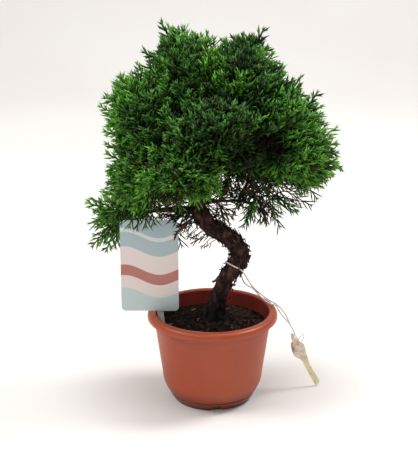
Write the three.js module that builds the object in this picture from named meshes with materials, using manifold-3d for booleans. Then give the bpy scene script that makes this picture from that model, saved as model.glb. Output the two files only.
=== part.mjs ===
// A juniper bonsai in a moulded nursery pot: pot, potting soil, S-bent trunk, boughs, masses of
// foliage, a label card on its stem and a tied hang tag.
// Millimetres, +Z up, +X to the right of the front view, +Y to the back.
// The origin is the centre of the pot's flat underside.
import * as THREE from "three";
import { mergeVertices } from "three/addons/utils/BufferGeometryUtils.js";
import Module from "manifold-3d";

const wasm = await Module();
wasm.setup();

// Driving dimensions

const GAP = 0.3; // clearance between neighbouring pieces

const POT = {
  height: 85,
  rimRadius: 60,
  rimHeight: 7,
  bodyRadius: 54, // under the rim
  shoulderRadius: 46.4, // where the straight side turns in
  shoulderHeight: 24,
  waistRadius: 41, // where the rounded bottom ends
  footRadius: 40.3, // upper edge of the conical foot
  baseRadius: 37, // lower edge of the foot
  footHeight: 8,
  wall: 1.8,
  floor: 2.4,
  notches: 4,
  notchWidth: 13,
  notchTop: 5.5, // width of a notch at its upper end
  notchHeight: 4.6,
  notchTurn: 6, // degrees from the front to the first notch
  segments: 28,
};

const SOIL = { edge: 71, crown: 76, crownRadius: 18 };

const TRUNK = {
  // S-bend: out to the right, back to the left, then up through the crown
  line: [
    [3.3, 0, 70],
    [3.8, 0, 90],
    [12.5, -2, 116],
    [21, -3.4, 129.6],
    [24.8, -4, 141],
    [17, -4, 154],
    [-4, -2, 169],
    [-13, 1, 183],
    [-7, 4, 207],
    [1, 5, 240],
    [-3, 4, 284],
  ],
  radius: 7.4,
  tipRadius: 2.2,
  taperFrom: 0.52, // share of the length below which the trunk keeps its girth
  flareHeight: 0.13, // share of the length that the root flare takes
  flare: 0.9,
  roots: 5,
  ripple: 0.06, // unevenness of the bark
  sides: 11,
  rings: 32,
};

const BOUGH = { rootShare: 0.52, tipRadius: 1.3, rise: 0.1, sides: 5, rings: 3 };
const STEM = { radius: 1.2, tipRadius: 0.8, reach: 0.45 };
const TWIG = { radius: 0.85, tipRadius: 0.6, reach: 0.5, sides: 3, count: 7, looseCount: 8 };
const SPRAY = { width: 0.64, thickness: 0.06, sunk: 2.5, fan: 0.55, sides: 3, shortest: 0.88 };
const CORE = { share: 0.66, lump: 0.2, detail: 1 };

// Each mass of foliage: where its bough leaves the trunk (share of the trunk's length), its centre
// and half sizes, and the way its leading shoot points
const MASSES = [
  { name: "apex_left", from: 0.95, centre: [-26, 5, 309], half: [36, 38, 41], lead: [-0.4, 0, 1] },
  { name: "apex_right", from: 0.9, centre: [26, 2, 303], half: [43, 42, 43], lead: [0.6, 0, 1] },
  { name: "left_upper", from: 0.78, centre: [-60, -8, 274], half: [41, 42, 42], lead: [-1, 0, 0.35] },
  { name: "right_upper", from: 0.82, centre: [54, -4, 266], half: [46, 44, 43], lead: [1, 0, 0.3] },
  { name: "front_upper", from: 0.85, centre: [2, -42, 264], half: [46, 38, 38], lead: [0.1, -1, 0.4] },
  { name: "back_upper", from: 0.87, centre: [-2, 50, 268], half: [50, 42, 42], lead: [0, 1, 0.4] },
  { name: "left_mid", from: 0.66, centre: [-62, -20, 215], half: [39, 40, 40], lead: [-1, -0.3, -0.2] },
  { name: "right_end", from: 0.69, centre: [75, -8, 229], half: [40, 42, 42], lead: [1, 0, -0.15] },
  { name: "front_left", from: 0.62, centre: [-26, -54, 226], half: [38, 36, 31], lead: [-0.1, -1, -0.2] },
  { name: "back_left", from: 0.72, centre: [-48, 50, 220], half: [46, 42, 36], lead: [-0.6, 0.8, 0] },
  { name: "back_right", from: 0.75, centre: [44, 52, 216], half: [48, 42, 36], lead: [0.6, 0.8, 0] },
  { name: "low_left", from: 0.55, centre: [-84, 18, 173], half: [34, 26, 34], lead: [-1, 0, -0.35] },
  { name: "low_right", from: 0.58, centre: [40, -4, 193], half: [44, 36, 27], lead: [0.2, -0.3, -1] },
];

// Masses with no core, which show their twigs
const LOOSE = ["low_left", "low_right"];

const CARD = { width: 52.5, height: 87, thickness: 0.6, corner: 4, left: -83.3, bottom: 86.5, y: -7 };
// The stem leans to the left; its rise and drop are measured from the card's lower edge
const CARD_STEM = { width: 5.6, thickness: 1.2, x: -48.3, lean: 7, rise: 89, drop: 34, pointLength: 12 };

const STRING = {
  at: 0.262, // share of the trunk's length
  radius: 0.6,
  slack: 1.4,
  tilt: 20, // how far the front of the loop is raised, in degrees
  sides: 3,
  rings: 50,
  // Two strands from the loop, across each other, over the rim and down to the tag
  front: [
    [36.7, 0.6, 107.6],
    [47.6, 10.6, 94],
    [54, 17.3, 87],
    [61.4, 18, 82],
    [68.2, 16.5, 74.2],
    [72.9, 14, 65],
    [76.7, 11.7, 57.6],
  ],
  back: [
    [30, 5, 108.8],
    [36.9, 4.8, 104.2],
    [47.2, 7.8, 92],
    [53.6, 9.4, 87],
    [59.2, 9.9, 85],
    [62.2, 10.2, 79.4],
    [67.9, 10.4, 71.6],
    [72.6, 10, 66],
    [77, 9.5, 57.4],
  ],
};
const TAG = {
  top: [80.3, 11, 53.6],
  thickness: 0.8,
  slant: 0.115, // how far it swings back for each millimetre down
  // Edge of the crumpled end and the narrow strip: across and down from the top
  edge: [
    [-3.7, -2.9],
    [-0.8, 0.1],
    [0.8, 4.1],
    [3.5, 6.1],
    [6.1, 8.3],
    [7.6, 15],
    [8, 21.8],
    [9, 24.6],
    [22.2, 48.1],
    [21.7, 50.8],
    [20, 53.4],
    [18.2, 53.2],
    [5.3, 27.4],
    [2.9, 24.6],
    [-2, 21.8],
    [-5.1, 15.6],
    [-3.7, 12.3],
    [-6.7, 7.4],
    [-5.1, 3.5],
    [-6.8, 0.1],
    [-6.6, -3.6],
  ],
};

// Finishes

const finish = (color, roughness) => new THREE.MeshStandardMaterial({ color, roughness, metalness: 0 });
const FINISH = {
  pot: finish(0xb0523a, 0.45),
  soil: finish(0x2a1c16, 0.95),
  bark: finish(0x4a3228, 0.9),
  foliage: finish(0x3c6a24, 0.6),
  card: finish(0xdcc8c2, 0.4),
  stem: finish(0xe6e4e0, 0.4),
  paper: finish(0xe4d8c4, 0.8),
  string: finish(0xc9bdb4, 0.7),
};

const UP = new THREE.Vector3(0, 0, 1);
const GOLDEN_ANGLE = Math.PI * (3 - Math.sqrt(5));
const vector = (values) => new THREE.Vector3(...values);

// Repeatable random numbers from 0 to 1
function seeded(seed) {
  let state = seed >>> 0;
  return () => {
    state = (state + 0x6d2b79f5) >>> 0;
    let mixed = Math.imul(state ^ (state >>> 15), state | 1);
    mixed ^= mixed + Math.imul(mixed ^ (mixed >>> 7), mixed | 61);
    return ((mixed ^ (mixed >>> 14)) >>> 0) / 4294967296;
  };
}

// Solids from three.js geometry, and back

function solid(geometry) {
  const bare = geometry.index ? geometry.toNonIndexed() : geometry.clone();
  bare.deleteAttribute("normal");
  bare.deleteAttribute("uv");
  const merged = mergeVertices(bare, 1e-4);
  return new wasm.Manifold(
    new wasm.Mesh({
      numProp: 3,
      vertProperties: new Float32Array(merged.getAttribute("position").array),
      triVerts: new Uint32Array(merged.index.array),
    }),
  );
}

function geometryOf(shape) {
  const { vertProperties, triVerts } = shape.getMesh();
  return new THREE.BufferGeometry()
    .setAttribute("position", new THREE.BufferAttribute(vertProperties, 3))
    .setIndex(new THREE.BufferAttribute(triVerts, 1));
}

// The largest piece of a solid, without the scraps that a cut leaves
function largest(shape) {
  return shape.decompose().reduce((best, piece) => (piece.volume() > best.volume() ? piece : best));
}

// Pot and soil

// The inside radius of the pot at a height: its conical foot, rounded bottom or straight side
function potInside(height) {
  const { bodyRadius, shoulderRadius, shoulderHeight, waistRadius, footHeight, wall } = POT;
  const rimBottom = POT.height - POT.rimHeight;
  if (height <= footHeight) {
    return THREE.MathUtils.lerp(POT.baseRadius, POT.footRadius, height / footHeight) - wall;
  }
  if (height > shoulderHeight) {
    const side = (height - shoulderHeight) / (rimBottom - shoulderHeight);
    return THREE.MathUtils.lerp(shoulderRadius, bodyRadius, side) - wall;
  }
  const turn = (height - footHeight) / (shoulderHeight - footHeight);
  return waistRadius + (shoulderRadius - waistRadius) * Math.sin((turn * Math.PI) / 2) - wall;
}

// A drain notch in the foot, narrower at its top and open below
function notchOutline() {
  const below = -1;
  const slope = (POT.notchWidth - POT.notchTop) / POT.notchHeight / 2;
  const outline = new THREE.Shape();
  outline.moveTo(-POT.notchTop / 2, POT.notchHeight);
  outline.lineTo(-POT.notchWidth / 2 + slope * below, below);
  outline.lineTo(POT.notchWidth / 2 - slope * below, below);
  outline.lineTo(POT.notchTop / 2, POT.notchHeight);
  return outline;
}

function makePot() {
  const { height, rimRadius, rimHeight, bodyRadius, footRadius, baseRadius, footHeight, wall } = POT;
  const rimBottom = height - rimHeight;
  const turn = POT.shoulderHeight - footHeight;
  const roundBottom = [1 / 3, 2 / 3, 1].map((share) => footHeight + share * turn);
  const bead = rimHeight / 3;
  const outside = [
    [0, 0],
    [baseRadius - 1, 0],
    [baseRadius, 1],
    [footRadius, footHeight],
    [POT.waistRadius, footHeight + 0.4],
    ...roundBottom.map((z) => [potInside(z) + wall, z]),
    [bodyRadius, rimBottom],
    [rimRadius - bead / 2, rimBottom],
    [rimRadius, rimBottom + bead],
    [rimRadius, height - bead],
    [rimRadius - bead, height],
  ];
  const inside = [
    [bodyRadius - wall + bead / 2, height],
    [bodyRadius - wall, height - bead / 2],
    [bodyRadius - wall, rimBottom],
    ...roundBottom.reverse().map((z) => [potInside(z), z]),
    [potInside(footHeight), footHeight],
    [potInside(POT.floor), POT.floor],
    [0, POT.floor],
  ];
  const profile = [...outside, ...inside].map(([radius, z]) => new THREE.Vector2(radius, z));
  const lathe = new THREE.LatheGeometry(profile, POT.segments).rotateX(Math.PI / 2);
  let shape = solid(lathe);
  for (let i = 0; i < POT.notches; i++) {
    const notch = new THREE.ExtrudeGeometry(notchOutline(), { depth: footRadius / 2, bevelEnabled: false });
    notch.rotateX(Math.PI / 2).translate(0, -footRadius * 0.75, 0);
    notch.rotateZ(THREE.MathUtils.degToRad(POT.notchTurn) + (i * 2 * Math.PI) / POT.notches);
    shape = shape.subtract(solid(notch));
  }
  return shape;
}

function makeSoil(cardStem) {
  const bottom = POT.floor + GAP;
  const { footHeight, shoulderHeight } = POT;
  const levels = [bottom, footHeight, (footHeight + shoulderHeight) / 2, shoulderHeight, SOIL.edge];
  const profile = [
    [0, bottom],
    ...levels.map((z) => [potInside(z) - 2 * GAP, z]),
    [SOIL.crownRadius, SOIL.crown],
    [0, SOIL.crown],
  ].map(([radius, z]) => new THREE.Vector2(radius, z));
  const fill = solid(new THREE.LatheGeometry(profile, POT.segments).rotateX(Math.PI / 2));
  return fill.subtract(solid(cardStem));
}

// Trunk and boughs

// A tapering limb: a cylinder bent along a curve, with a radius for each share of its length and
// each angle round it
function limb(curve, radiusAt, sides, rings) {
  const geometry = new THREE.CylinderGeometry(1, 1, 1, sides, rings);
  const frames = curve.computeFrenetFrames(rings);
  const points = geometry.getAttribute("position");
  for (let i = 0; i < points.count; i++) {
    const ring = Math.round((points.getY(i) + 0.5) * rings);
    const across = points.getX(i);
    const along = points.getZ(i);
    const radius = radiusAt(ring / rings, Math.atan2(along, across));
    const point = curve.getPointAt(ring / rings);
    point.addScaledVector(frames.normals[ring], across * radius);
    point.addScaledVector(frames.binormals[ring], -along * radius);
    points.setXYZ(i, point.x, point.y, point.z);
  }
  return geometry;
}

const trunkLine = new THREE.CatmullRomCurve3(TRUNK.line.map(vector), false, "centripetal");

function trunkRadius(share, angle = 0) {
  const taper = Math.max(0, (share - TRUNK.taperFrom) / (1 - TRUNK.taperFrom));
  const girth = THREE.MathUtils.lerp(TRUNK.radius, TRUNK.tipRadius, taper);
  const low = Math.max(0, 1 - share / TRUNK.flareHeight);
  const lobes = 0.8 + 0.2 * Math.cos(TRUNK.roots * angle);
  const ripple = TRUNK.ripple * Math.cos(3 * angle + 60 * share);
  return girth * (1 + TRUNK.flare * low * low * lobes + ripple);
}

// The trunk, or the same trunk swollen by a margin, to cut its neighbours clear of it
function makeTrunk(margin = 0) {
  const radiusAt = (share, angle) => trunkRadius(share, angle) + margin;
  const shape = solid(limb(trunkLine, radiusAt, TRUNK.sides, TRUNK.rings));
  return shape.trimByPlane([0, 0, 1], SOIL.crown + GAP - margin);
}

// A bough runs from the trunk's middle to the edge of its mass's core
function boughLine(mass) {
  const root = trunkLine.getPointAt(mass.from);
  const centre = vector(mass.centre);
  const inward = root.clone().sub(centre).divide(vector(mass.half));
  inward.normalize().multiply(vector(mass.half));
  const tip = centre.clone().addScaledVector(inward, CORE.share + 0.1);
  const middle = root.clone().lerp(tip, 0.5).addScaledVector(UP, BOUGH.rise * root.distanceTo(tip));
  return new THREE.QuadraticBezierCurve3(root, middle, tip);
}

function boughRadius(mass, share) {
  return THREE.MathUtils.lerp(trunkRadius(mass.from) * BOUGH.rootShare, BOUGH.tipRadius, share);
}

function makeBough(mass, margin = 0) {
  const radiusAt = (share) => boughRadius(mass, share) + margin;
  return solid(limb(mass.bough, radiusAt, BOUGH.sides, BOUGH.rings));
}

// Foliage

// A spray of needles: a toothed blade, thickest in its middle, rooted at the origin and pointing
// along +Y. The points of its edge are given as shares of its half width and its length.
function sprayBlade(length) {
  const halfWidth = (SPRAY.width * length) / 2;
  const corners = [];
  for (const side of [1, -1]) {
    const point = (across, along) => [side * across * halfWidth, along * length, 0];
    const edge = [point(0, 0), point(1, 0.72), point(0.2, 0.56), point(0.5, 0.9), point(0, 1)];
    for (const face of [1, -1]) {
      const middle = [0, length / 2, (face * SPRAY.thickness * length) / 2];
      for (let i = 1; i < edge.length; i++) {
        const [first, second] = side * face > 0 ? [edge[i - 1], edge[i]] : [edge[i], edge[i - 1]];
        corners.push(first, second, middle);
      }
    }
  }
  const points = new THREE.Float32BufferAttribute(corners.flat(), 3);
  return new THREE.BufferGeometry().setAttribute("position", points);
}

// A spray from a root to a tip, with its flat side turned to face a given way
function placeSpray(root, tip, facing) {
  const along = tip.clone().sub(root).normalize();
  const across = along.clone().cross(facing).normalize();
  const out = across.clone().cross(along);
  const place = new THREE.Matrix4().makeBasis(across, along, out).setPosition(root);
  return solid(sprayBlade(root.distanceTo(tip)).applyMatrix4(place));
}

function straightTwig(from, to) {
  const radiusAt = (share) => THREE.MathUtils.lerp(TWIG.radius, TWIG.tipRadius, share);
  return solid(limb(new THREE.LineCurve3(from, to), radiusAt, TWIG.sides, 1));
}

// The lumpy inside of a dense mass
function lumpyCore(mass, seed, margin = 0) {
  const random = seeded(seed);
  const geometry = new THREE.IcosahedronGeometry(1, CORE.detail);
  const merged = mergeVertices(geometry.deleteAttribute("normal").deleteAttribute("uv"));
  const points = merged.getAttribute("position");
  for (let i = 0; i < points.count; i++) {
    const swell = CORE.share * (1 + CORE.lump * (2 * random() - 1));
    const way = new THREE.Vector3().fromBufferAttribute(points, i);
    const point = way.clone().multiply(vector(mass.half)).multiplyScalar(swell).addScaledVector(way, margin);
    point.add(vector(mass.centre));
    points.setXYZ(i, point.x, point.y, point.z);
  }
  return solid(merged);
}

const isLoose = (mass) => LOOSE.includes(mass.name);
const twigCount = (mass) => (isLoose(mass) ? TWIG.looseCount : TWIG.count);

// The way twig number i points: turned by the golden angle from the leading shoot, so that the
// twigs are even on all sides of the mass
function twigDirection(mass, i) {
  const height = 1 - (2 * i) / twigCount(mass);
  const ring = Math.sqrt(1 - height * height);
  const turn = i * GOLDEN_ANGLE;
  const local = new THREE.Vector3(ring * Math.cos(turn), ring * Math.sin(turn), height);
  return local.applyQuaternion(new THREE.Quaternion().setFromUnitVectors(UP, vector(mass.lead).normalize()));
}

// The stem of a mass: on from its bough's tip, through the middle and up the leading shoot
function stemLine(mass) {
  const centre = vector(mass.centre);
  const boughWay = mass.bough.getTangentAt(1);
  const foot = mass.bough.getPointAt(1).addScaledVector(boughWay, GAP);
  const next = foot.clone().addScaledVector(boughWay, 2);
  const middle = centre.clone().lerp(foot, 0.4);
  const tip = centre.clone().addScaledVector(twigDirection(mass, 0).multiply(vector(mass.half)), STEM.reach);
  return new THREE.CatmullRomCurve3([foot, next, middle, tip]);
}

// One mass: a stem from the bough's tip, twigs off the stem by the golden angle, and on each twig
// a leading spray with side sprays fanned round it. A twig or spray that would touch one of the
// others is left out.
function growMass(mass, seed, core, others) {
  const random = seeded(seed);
  const centre = vector(mass.centre);
  const half = vector(mass.half);
  const stem = stemLine(mass);
  const stemRadius = (share) => THREE.MathUtils.lerp(STEM.radius, STEM.tipRadius, share);
  const pieces = [solid(limb(stem, stemRadius, TWIG.sides, 5))];
  if (core) pieces.push(core);
  const addIfClear = (piece) => {
    const isClear = piece.minGap(others, GAP) >= GAP;
    if (isClear) pieces.push(piece);
    return isClear;
  };

  for (let i = 0; i < twigCount(mass); i++) {
    const way = twigDirection(mass, i);
    const reach = i === 0 ? 1 : THREE.MathUtils.lerp(SPRAY.shortest, 1, random());
    const start = stem.getPointAt(THREE.MathUtils.lerp(0.4, 1, random()));
    const tip = way.clone().multiply(half).multiplyScalar(reach).add(centre);
    const end = start.clone().lerp(tip, TWIG.reach);
    const along = end.clone().sub(start).normalize();
    const hinge = new THREE.Vector3(along.z, along.x, along.y).cross(along).normalize();
    hinge.applyAxisAngle(along, random() * Math.PI);
    if (!addIfClear(straightTwig(start, end))) continue;
    addIfClear(placeSpray(end.clone().addScaledVector(along, -SPRAY.sunk), tip, hinge));
    for (let k = 0; k < SPRAY.sides; k++) {
      const sideHinge = hinge.clone().applyAxisAngle(along, (2 * Math.PI * k) / SPRAY.sides);
      const sideWay = way.clone().applyAxisAngle(sideHinge, SPRAY.fan);
      const sideReach = THREE.MathUtils.lerp(SPRAY.shortest, 1, random());
      const sideTip = sideWay.clone().multiply(half).multiplyScalar(sideReach).add(centre);
      const root = start.clone().lerp(end, 0.95 - 0.08 * k);
      const facing = sideHinge.clone().applyAxisAngle(sideWay, random() * Math.PI);
      addIfClear(placeSpray(root, sideTip, facing));
    }
  }
  return largest(wasm.Manifold.union(pieces));
}

// Label card and its stem, which stands in a slot of the soil

function makeCard() {
  const { width, height, corner, thickness } = CARD;
  const outline = new THREE.Shape();
  const corners = [
    [width - corner, corner, -Math.PI / 2],
    [width - corner, height - corner, 0],
    [corner, height - corner, Math.PI / 2],
    [corner, corner, Math.PI],
  ];
  for (const [x, y, start] of corners) outline.absarc(x, y, corner, start, start + Math.PI / 2);
  const settings = { depth: thickness, bevelEnabled: false, curveSegments: 3 };
  const plate = new THREE.ExtrudeGeometry(outline, settings);
  return plate.rotateX(Math.PI / 2).translate(CARD.left, CARD.y + thickness, CARD.bottom);
}

// The stem, or the slot that it stands in when a margin is given
function makeCardStem(margin = 0) {
  const { width, thickness, x, lean, rise, drop, pointLength } = CARD_STEM;
  const side = width / 2 + margin;
  const outline = new THREE.Shape();
  outline.moveTo(0, -drop - 2 * margin);
  outline.lineTo(side, pointLength - drop - margin);
  outline.lineTo(side, rise);
  outline.lineTo(-side, rise);
  outline.lineTo(-side, pointLength - drop - margin);
  const depth = thickness + 2 * margin;
  const blade = new THREE.ExtrudeGeometry(outline, { depth, bevelEnabled: false });
  blade.rotateX(Math.PI / 2).rotateY(THREE.MathUtils.degToRad(-lean));
  return blade.translate(x, CARD.y + CARD.thickness + GAP - margin + depth, CARD.bottom);
}

// Hang tag: a string looped round the trunk, over the pot's rim, and a folded paper tag on its end

function makeTag() {
  const outline = new THREE.Shape(TAG.edge.map(([across, down]) => new THREE.Vector2(across, -down)));
  const plate = new THREE.ExtrudeGeometry(outline, { depth: TAG.thickness, bevelEnabled: false });
  plate.rotateX(Math.PI / 2 + Math.atan(TAG.slant));
  return plate.translate(...TAG.top);
}

function makeString() {
  const tie = trunkLine.getPointAt(STRING.at);
  const way = trunkLine.getTangentAt(STRING.at);
  const front = new THREE.Vector3(0, -1, 0).addScaledVector(way, way.y).normalize();
  const right = front.clone().cross(way).negate().normalize();
  front.applyAxisAngle(right, THREE.MathUtils.degToRad(STRING.tilt));
  const loopRadius = trunkRadius(STRING.at) + STRING.slack + STRING.radius;
  const loop = [55, 95, 135, 175, 215, 255, 295].map((degrees) => {
    const angle = THREE.MathUtils.degToRad(degrees);
    const point = tie.clone().addScaledVector(right, loopRadius * Math.cos(angle));
    return point.addScaledVector(front, loopRadius * Math.sin(angle));
  });
  const strands = [STRING.front.map(vector).reverse(), loop, STRING.back.map(vector)];
  const line = new THREE.CatmullRomCurve3(strands.flat(), false, "centripetal");
  return limb(line, () => STRING.radius, STRING.sides, STRING.rings);
}

// Assembly

const bonsai = new THREE.Group();

function addPiece(name, geometry, material) {
  const piece = new THREE.Mesh(geometry, material);
  piece.name = name;
  bonsai.add(piece);
}

for (const mass of MASSES) mass.bough = boughLine(mass);
const clearOfTrunk = makeTrunk(GAP);
const trunk = makeTrunk();
const boughs = MASSES.map((mass) => largest(makeBough(mass).subtract(clearOfTrunk)));
const card = makeCard();
const cardStem = makeCardStem();

addPiece("pot", geometryOf(makePot()), FINISH.pot);
addPiece("soil", geometryOf(makeSoil(makeCardStem(GAP))), FINISH.soil);
addPiece("trunk", geometryOf(trunk), FINISH.bark);
boughs.forEach((bough, i) => addPiece(`bough_${MASSES[i].name}`, geometryOf(bough), FINISH.bark));

// Cores are cut clear of the limbs and of the cores before them, and only then do sprays grow
let cut = wasm.Manifold.union([makeTrunk(2 * GAP), ...MASSES.map((mass) => makeBough(mass, 2 * GAP))]);
const cores = MASSES.map((mass, i) => {
  if (isLoose(mass)) return null;
  const core = largest(lumpyCore(mass, i + 1).subtract(cut));
  cut = cut.add(lumpyCore(mass, i + 1, 2 * GAP));
  return core;
});
const grown = [trunk, ...boughs, solid(card), solid(cardStem)];
MASSES.forEach((mass, i) => {
  const otherCores = cores.filter((core, k) => core && k > i);
  const foliage = growMass(mass, i + 1, cores[i], wasm.Manifold.union([...grown, ...otherCores]));
  grown.push(foliage);
  addPiece(`foliage_${mass.name}`, geometryOf(foliage), FINISH.foliage);
});
addPiece("label_card", card, FINISH.card);
addPiece("label_stem", cardStem, FINISH.stem);
addPiece("tag_string", makeString(), FINISH.string);
addPiece("hang_tag", makeTag(), FINISH.paper);

export default bonsai;
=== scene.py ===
import math

import bmesh
import bpy
import numpy as np
from mathutils import Matrix, Vector
from numpy.linalg import norm


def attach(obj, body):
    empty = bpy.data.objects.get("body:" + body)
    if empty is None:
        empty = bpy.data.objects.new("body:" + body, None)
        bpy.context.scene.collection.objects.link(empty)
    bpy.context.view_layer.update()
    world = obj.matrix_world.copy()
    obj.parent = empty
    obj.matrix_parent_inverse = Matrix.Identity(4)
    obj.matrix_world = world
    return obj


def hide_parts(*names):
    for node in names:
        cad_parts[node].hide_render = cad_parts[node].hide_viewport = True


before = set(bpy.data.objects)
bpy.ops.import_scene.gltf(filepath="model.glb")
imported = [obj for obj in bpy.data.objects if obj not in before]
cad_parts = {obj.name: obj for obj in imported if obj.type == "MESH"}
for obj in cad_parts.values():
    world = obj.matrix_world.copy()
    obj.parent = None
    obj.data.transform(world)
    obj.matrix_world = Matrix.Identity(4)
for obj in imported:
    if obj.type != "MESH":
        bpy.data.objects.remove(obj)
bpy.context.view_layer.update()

# A juniper bonsai in a moulded nursery pot, with a label card on a stem and a tied paper tag.
# Sizes are in millimetres, as in the part's source, and become metres where a mesh is made.

MM = 0.001
GAP = 0.3
FULL_TURN = 2 * math.pi
GOLDEN_ANGLE = math.pi * (3 - math.sqrt(5))
UP = np.array([0.0, 0.0, 1.0])

POT_HEIGHT, POT_WALL, POT_FLOOR = 85, 1.8, 2.4
RIM_RADIUS, RIM_BOTTOM, RIM_ROUND, RIM_UNDER_ROUND, LIP_ROUND = 60, 78, 4.4, 1.2, 1.8
BODY_RADIUS, RIM_STEP = 54, 71
SHOULDER_RADIUS, SHOULDER_HEIGHT = 46.4, 24
WAIST_RADIUS, FOOT_RADIUS, FOOT_HEIGHT, BASE_RADIUS = 41, 40.3, 8, 37
# Drain notches: turn in degrees, half widths at top and bottom, height, and place from the middle
NOTCH_TURN, NOTCH_TOP_HALF, NOTCH_BASE_HALF, NOTCH_HEIGHT = 6, 2.75, 7.3, 4.6
NOTCH_MIDDLE, NOTCH_HALF_DEPTH = 36.9, 9.1
SOIL_EDGE, SOIL_CROWN, SOIL_CROWN_RADIUS = 71, 76, 18
CHIPS, STRAW_SHARE, STRAW_HALF_LENGTH, STRAW_HALF_THICK = 1900, 0.008, 3.8, 0.45

TRUNK_LINE = [
    (3.3, 0, 70), (3.8, 0, 90), (12.5, -2, 116), (21, -3.4, 129.6), (24.8, -4, 141), (17, -4, 154),
    (-4, -2, 169), (-13, 1, 183), (-7, 4, 207), (1, 5, 240), (-3, 4, 284),
]
TRUNK_RADIUS, TRUNK_TIP, TAPER_FROM, FLARE_SHARE = 7.4, 2.2, 0.52, 0.13
TRUNK_STEPS, TRUNK_LENGTH = 520, 262
FLAKES, FLAKE_THICKNESS = 340, 0.35
BOUGH_ROOT_SHARE, BOUGH_TIP = 0.52, 1.3

# Each mass of foliage: where its bough leaves the trunk, its centre and half sizes, the way its leading
# shoot points, the share of bare twigs among its sprays and how much lighter than the rest they are
# painted, as painted light and shade
MASSES = {
    "apex_left": (0.95, (-26, 5, 309), (36, 38, 41), (-0.4, 0, 1), 0, -0.09),
    "apex_right": (0.9, (26, 2, 303), (43, 42, 43), (0.6, 0, 1), 0, -0.08),
    "left_upper": (0.78, (-60, -8, 274), (41, 42, 42), (-1, 0, 0.35), 0, -0.06),
    "right_upper": (0.82, (54, -4, 266), (46, 44, 43), (1, 0, 0.3), 0, -0.06),
    "front_upper": (0.85, (2, -42, 264), (46, 38, 38), (0.1, -1, 0.4), 0, -0.26),
    "back_upper": (0.87, (-2, 50, 268), (50, 42, 42), (0, 1, 0.4), 0, 0),
    "left_mid": (0.66, (-62, -20, 215), (39, 40, 40), (-1, -0.3, -0.2), 0.1, 0.1),
    "right_end": (0.69, (75, -8, 229), (40, 42, 42), (1, 0, -0.15), 0.08, 0.2),
    "front_left": (0.62, (-26, -54, 226), (38, 36, 31), (-0.1, -1, -0.2), 0.12, 0.07),
    "back_left": (0.72, (-48, 50, 220), (46, 42, 36), (-0.6, 0.8, 0), 0, 0),
    "back_right": (0.75, (44, 52, 216), (48, 42, 36), (0.6, 0.8, 0), 0, -0.1),
    "low_left": (0.55, (-84, 18, 173), (34, 26, 34), (-1, 0, -0.35), 0.06, 0.16),
    "low_right": (0.58, (40, -4, 193), (44, 36, 27), (0.2, -0.3, -1), 0, 0),
}
centres = np.array([mass[1] for mass in MASSES.values()], float)
halves = np.array([mass[2] for mass in MASSES.values()], float)
# Twigs and sprays to a twig in a mass, and the share of its sprays that are bare
DENSE = (30, 18, 0.0)
LOOSE = {"low_left": (9, 6, 0.0), "low_right": (11, 3, 0.4)}
# The tips of the shoots that stand out of the crown's outline
LEADERS = {
    "apex_left": [(-46, 3, 351), (-49, 0, 330), (-63, 2, 325), (-30, -6, 338), (0, -2, 336)],
    "apex_right": [
        (45, 0, 346), (50, 0, 330), (25, -6, 343), (60, 0, 315), (33, -4, 341), (10, -4, 337),
        (18, 0, 339),
    ],
    "left_upper": [(-83, -8, 306), (-97, -8, 286), (-94, -10, 256), (-90, -8, 272)],
    "right_upper": [(68, -2, 294), (77, -4, 281), (93, -4, 272), (99, -6, 263)],
    "right_end": [
        (111, -6, 260), (106, -6, 253), (111, -7, 247), (113, -8, 237), (112, -8, 226), (109, -8, 214),
        (104, -10, 209), (98, -8, 202), (95, -8, 191),
    ],
    "left_mid": [
        (-96, -14, 248), (-96, -14, 238), (-93, -16, 223), (-91, -16, 209), (-74, -28, 170),
        (-58, -30, 171), (-82, -24, 172), (-66, -28, 168), (-50, -28, 173), (-88, -20, 178),
        (-72, -22, 176),
    ],
    "back_left": [(-27, 6, 141)],
    "low_left": [
        (-118, 16, 184), (-114, 16, 188), (-107, 16, 171), (-109, 16, 162), (-113, 16, 138),
        (-106, 17, 141), (-99, 16, 133), (-90, 14, 137),
    ],
    "low_right": [
        (91, -8, 186), (79, -8, 181), (62, -8, 164), (48, -8, 168), (43, -8, 167), (29, -8, 168),
        (26, -8, 164),
    ],
}
# Leading shoots below the first level are thin fans in dark greens, and those above the second are
# darker: both painted shade
LOW_LEADER, HIGH_LEADER = 216, 262
# Twigs under the crown: the limb they leave, from and to which share of it, how many, the way they
# point, how far they stray from it, their lengths, and the share of bare ones
UNDERSIDE = [
    ("trunk", 0.42, 0.6, 14, (-0.7, -0.3, -0.6), 0.22, (13, 23), 1.0),
    ("trunk", 0.5, 0.63, 16, (-0.9, -0.2, -0.1), 0.35, (20, 36), 0.8),
    ("trunk", 0.64, 0.8, 16, (0.6, -0.5, -0.1), 0.5, (18, 28), 0.3),
    ("low_left", 0.1, 0.9, 26, (-0.3, -0.3, 0.2), 0.8, (16, 26), 1.0),
    ("low_left", 0.05, 0.8, 22, (-0.3, -0.3, -0.6), 0.5, (10, 18), 0.9),
    ("left_mid", 0.2, 1.0, 16, (0.1, -0.3, -0.8), 0.5, (16, 26), 0.8),
    ("right_end", 0.05, 0.9, 22, (0.3, -0.3, -0.1), 0.8, (18, 28), 0.35),
    ("right_end", 0.02, 0.6, 14, (0.2, -0.2, -0.8), 0.4, (18, 30), 0.6),
    ("low_right", 0.1, 1.0, 14, (0.3, -0.2, -0.6), 0.7, (18, 28), 0.5),
    ("back_right", 0.3, 1.0, 8, (0.3, -0.3, -0.6), 0.6, (18, 28), 0.5),
]
# A shallow dip at the crown's top, between its two peaks: its middle, half width and level
DIP_MIDDLE, DIP_HALF, DIP_LEVEL = 7, 12, 342
# How closely neighbouring masses flow together: the higher, the deeper the clefts between them
MERGE = 4.0
# A hollow in the front of the crown, with few shoots in it, whose sprays get darker greens as painted
# shade
HOLLOW_CENTRE, HOLLOW_HALF = np.array([42, -42, 248]), np.array([32, 44, 23])
# Masses with their middle above this level have sprays that rise
RISING_FROM = 240
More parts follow.
